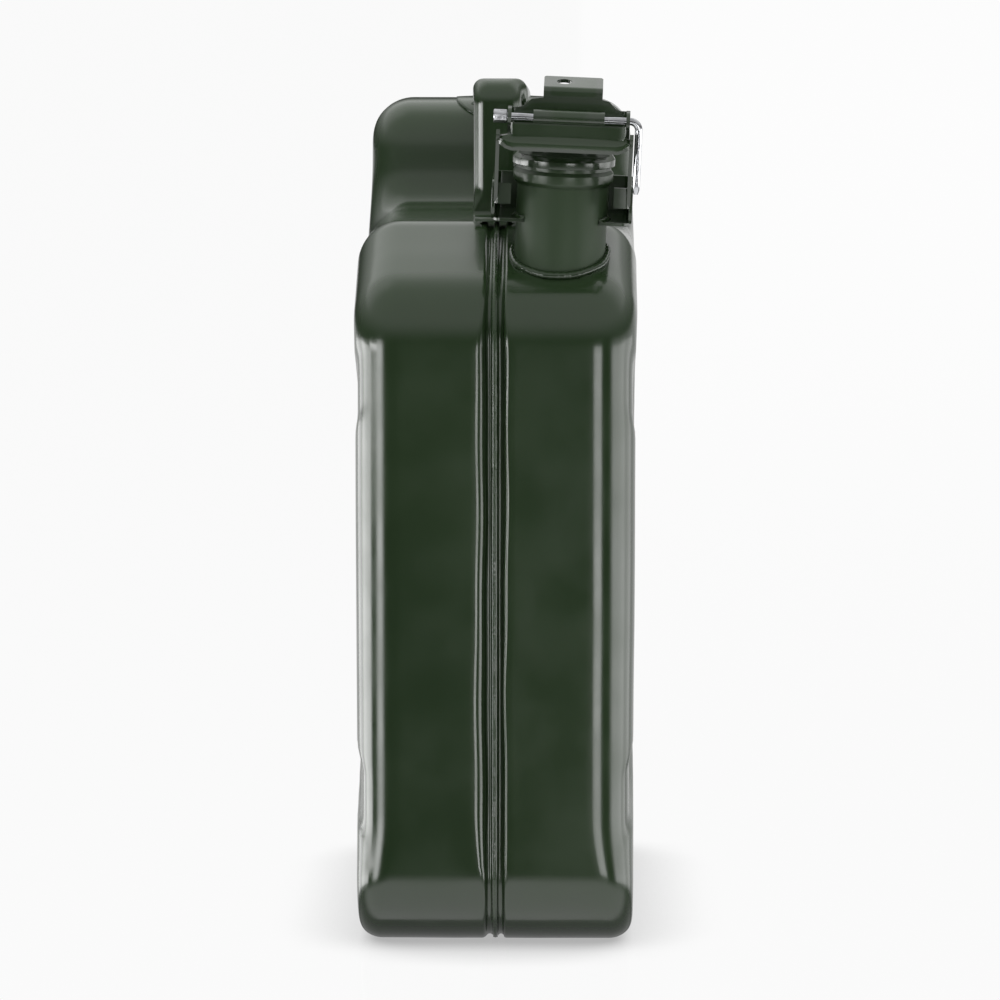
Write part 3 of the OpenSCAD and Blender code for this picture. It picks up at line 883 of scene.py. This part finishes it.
def build_bracket():
    """The yoke round the neck: a bent wall, a floor, a strap down the neck and two hinge lugs."""
    wing, front_v, back_v, tall, corner = 30.2, -12.0, 23.2, 18.0, 4.5
    path = [(-wing, front_v, 0), (-wing, back_v, 3), (wing, back_v, 3), (wing, front_v, 0)]
    samples = path_samples(path, False, 0.9, math.radians(12))
    wall = []
    for u, v, _, _, distance in samples:
        from_front = min(distance, samples[-1][4] - distance)
        cut = corner - math.sqrt(max(0.0, corner ** 2 - max(0.0, corner - from_front) ** 2))
        low, top = BRACKET_LOW + 0.8 + cut, BRACKET_LOW + tall - 0.6 * cut
        wall.append([(u, v, mix(low, top, k / 8)) for k in range(9)])
    rounded = arc_points((-wing + corner, front_v + corner), corner, 180, 270, 6)
    rounded += arc_points((wing - corner, front_v + corner), corner, 270, 360, 6)
    floor = [(u, v, BRACKET_LOW + 0.8) for u, v in rounded + [(wing, back_v), (-wing, back_v)]]
    strap = [(-29.6, -3.2, BRACKET_LOW + 0.8), (-22.4, -3.2, BRACKET_LOW + 0.8), (-22.4, -3.2, -42),
             (-29.6, -3.2, -42)]
    lugs = []
    for u in (-15.6, 15.6):
        tip = arc_points((31, 2), 4.2, -60, 180, 16)
        lugs.append([(u, v, w) for v, w in [(back_v, BRACKET_LOW + 1), (29, BRACKET_LOW + 8)] + tip
                     + [(back_v, -4)]])
    stamped("stamped_hinge_bracket", "hinge_bracket", "can", [wall], [floor, strap] + lugs,
            holes=[(Matrix.Translation((0, 0, BRACKET_LOW)), NECK_R + 0.2)])


# ---- CAD nodes that keep their own shape -------------------------------------------------------

def finish_node(name, material, edge=0.3):
    """Gives a CAD node its material and the small rounded edges of a pressed sheet."""
    node = frame["nodes"][name]
    node.data.materials.clear()
    node.data.materials.append(material)
    weld = node.modifiers.new("weld", "WELD")
    weld.merge_threshold = 0.005 * MM
    if edge:
        soft = node.modifiers.new("edges", "BEVEL")
        soft.width = edge * MM
        soft.segments = 3
        soft.limit_method = "ANGLE"
        soft.angle_limit = math.radians(35)
        flat = node.modifiers.new("flat_faces", "WEIGHTED_NORMAL")
        flat.keep_sharp = True
    for polygon in node.data.polygons:
        polygon.use_smooth = True


def finish_cad_nodes():
    """Welds, pins and the breather keep their CAD shape."""
    for name in ("handle_front_weld", "handle_rear_weld", "bracket_weld"):
        finish_node(name, green_weld, 0)
    for name in ("lid_hinge_pin", "lid_rivet", "spring_washer"):
        finish_node(name, zinc, 0.2)
    for name in ("breather_tube", "breather_clip"):
        finish_node(name, zinc, 0)


# ---- stage: floor, light and camera ------------------------------------------------------------

def build_floor():
    """A white sweep: the camera sees it as plain white with a soft contact shade."""
    bpy.ops.mesh.primitive_circle_add(vertices=96, radius=60.0, fill_type="NGON")
    floor = bpy.context.object
    floor.name = "floor"
    floor.location = (0, 0, -0.0004)
    s = Shader("pale_floor")
    s.link(s.ramp(s.noise(3.0, 3.0), 0.34, 0.38), s.base.inputs["Base Color"])
    s.base.inputs["Roughness"].default_value = 0.6
    nodes = s.tree.nodes
    shade = nodes.new("ShaderNodeAmbientOcclusion")
    shade.inputs["Distance"].default_value = 0.07
    seen = nodes.new("ShaderNodeEmission")
    s.link(s.ramp(shade.outputs["AO"], 0.45, 1.0, 0.1, 0.8), seen.inputs["Color"])
    gloss = nodes.new("ShaderNodeBsdfGlossy")
    gloss.inputs["Roughness"].default_value = 0.12
    polished = nodes.new("ShaderNodeMixShader")
    polished.inputs["Fac"].default_value = 0.05
    s.link(seen.outputs["Emission"], polished.inputs[1])
    s.link(gloss.outputs["BSDF"], polished.inputs[2])
    pick = nodes.new("ShaderNodeMixShader")
    s.link(nodes.new("ShaderNodeLightPath").outputs["Is Camera Ray"], pick.inputs["Fac"])
    s.link(s.base.outputs["BSDF"], pick.inputs[1])
    s.link(polished.outputs["Shader"], pick.inputs[2])
    s.link(pick.outputs["Shader"], nodes["Material Output"].inputs["Surface"])
    floor.data.materials.append(s.material)
    floor.visible_glossy = False


NADIR, ZENITH = -1.4, 1.4    # beyond straight down and straight up, clear of any blur
LAMP_LOW = -0.24


class Studio:
    """Light all round the can as a sum of soft-edged bands of azimuth and height."""

    def __init__(self, tree):
        self.tree = tree
        place = tree.nodes.new("ShaderNodeTexCoord").outputs["Generated"]
        split = tree.nodes.new("ShaderNodeSeparateXYZ")
        tree.links.new(place, split.inputs["Vector"])
        back = self.math("MULTIPLY", split.outputs["Y"], -1.0)
        radians = self.math("ARCTAN2", split.outputs["X"], back)
        self.azimuth = self.math("MULTIPLY", radians, 180 / PI)
        self.height = split.outputs["Z"]
        self.total = None

    def math(self, operation, a, b):
        node = self.tree.nodes.new("ShaderNodeMath")
        node.operation = operation
        for socket, value in zip(node.inputs, (a, b)):
            if isinstance(value, (int, float)):
                socket.default_value = value
            else:
                self.tree.links.new(value, socket)
        return node.outputs["Value"]

    def edge(self, source, low, high):
        node = self.tree.nodes.new("ShaderNodeMapRange")
        node.interpolation_type = "SMOOTHSTEP"
        node.inputs["From Min"].default_value = low
        node.inputs["From Max"].default_value = high
        self.tree.links.new(source, node.inputs["Value"])
        return node.outputs["Result"]

    def band(self, strength, start, end, blur, low=NADIR, high=ZENITH, height_blur=0.1):
        """Adds light between two azimuths, negative to the left, and between two heights."""
        across = self.math("MULTIPLY", self.edge(self.azimuth, start - blur, start + blur),
                           self.edge(self.azimuth, end + blur, end - blur))
        above = self.edge(self.height, low - height_blur, low + height_blur)
        below = self.edge(self.height, high + height_blur, high - height_blur)
        upright = self.math("MULTIPLY", above, below)
        light = self.math("MULTIPLY", self.math("MULTIPLY", across, upright), strength)
        self.total = light if self.total is None else self.math("ADD", self.total, light)


def world_light():
    """White studio all round, dark behind the camera; the camera itself sees plain white."""
    world = bpy.data.worlds.new("studio")
    bpy.context.scene.world = world
    world.use_nodes = True
    tree = world.node_tree
    tree.nodes.clear()
    out = tree.nodes.new("ShaderNodeOutputWorld")
    seen = tree.nodes.new("ShaderNodeBackground")
    lit = tree.nodes.new("ShaderNodeBackground")
    pick = tree.nodes.new("ShaderNodeMixShader")
    path = tree.nodes.new("ShaderNodeLightPath")
    studio = Studio(tree)
    everywhere = (-200, 200, 1)
    # a little light from everywhere
    studio.band(0.05, *everywhere)
    # pale ground, brighter in front
    studio.band(0.25, *everywhere, NADIR, -0.32, 0.1)
    studio.band(1.05, -90, 90, 18, NADIR, -0.32, 0.1)
    # ceiling
    studio.band(0.6, *everywhere, 0.3, ZENITH, 0.27)
    # brighter ceiling behind the can
    studio.band(0.42, -250, -100, 20, 0.45, 0.97, 0.06)
    studio.band(0.42, 100, 250, 20, 0.45, 0.97, 0.06)
    # white wall to the left, brightest beside the can
    studio.band(0.75, -200, -76, 6, LAMP_LOW, -0.02, 0.03)
    studio.band(2.9, -140, -76, 4, LAMP_LOW, -0.055, 0.015)
    studio.band(4.0, -112, -76, 4, LAMP_LOW, -0.055, 0.015)
    # strip lamp at the front left, and a brighter one at handle height
    studio.band(7.0, -56, -40, 6, -0.205, 0.05, 0.07)
    studio.band(14.0, -78, -56, 5, -0.052, 0.0, 0.01)
    # dimmer wall to the right
    studio.band(0.7, 52, 200, 8, LAMP_LOW, 0.1, 0.05)
    studio.band(1.6, 52, 128, 6, LAMP_LOW, -0.02, 0.03)
    studio.band(1.6, 52, 98, 6, LAMP_LOW, -0.02, 0.03)
    # strip lamp at the front right
    studio.band(5.6, 7, 25, 3, -0.205, -0.02, 0.04)
    tree.links.new(studio.total, lit.inputs["Strength"])
    tree.links.new(path.outputs["Is Camera Ray"], pick.inputs["Fac"])
    tree.links.new(lit.outputs["Background"], pick.inputs[1])
    tree.links.new(seen.outputs["Background"], pick.inputs[2])
    tree.links.new(pick.outputs["Shader"], out.inputs["Surface"])
    lit.inputs["Color"].default_value = (1, 1, 1, 1)
    seen.inputs["Color"].default_value = (1, 1, 1, 1)
    seen.inputs["Strength"].default_value = 1.0


def build_camera():
    """A long lens in front of the filler end, looking slightly down."""
    focal_px, image_px = 5098, 1000
    distance, side, height = 2.216, 0.0024, 0.4447
    yaw, pitch = math.radians(0.9), math.radians(6.284)
    camera = bpy.data.cameras.new("camera")
    camera.sensor_width = 36.0
    camera.lens = camera.sensor_width * focal_px / image_px
    view = bpy.data.objects.new("camera", camera)
    view.location = (distance * math.sin(yaw) + side * math.cos(yaw),
                     FRONT * MM - distance * math.cos(yaw) + side * math.sin(yaw), height)
    view.rotation_euler = (PI / 2 - pitch, 0, yaw)
    bpy.context.scene.collection.objects.link(view)
    bpy.context.scene.camera = view


build_shells()
build_seam_weld()
build_handle()
build_neck()
build_neck_weld()
build_lid()
build_wire()
build_wire_head()
build_carrier()
build_lever()
build_bracket()
finish_cad_nodes()
build_floor()
world_light()
build_camera()
bpy.context.scene.view_settings.view_transform = "Standard"
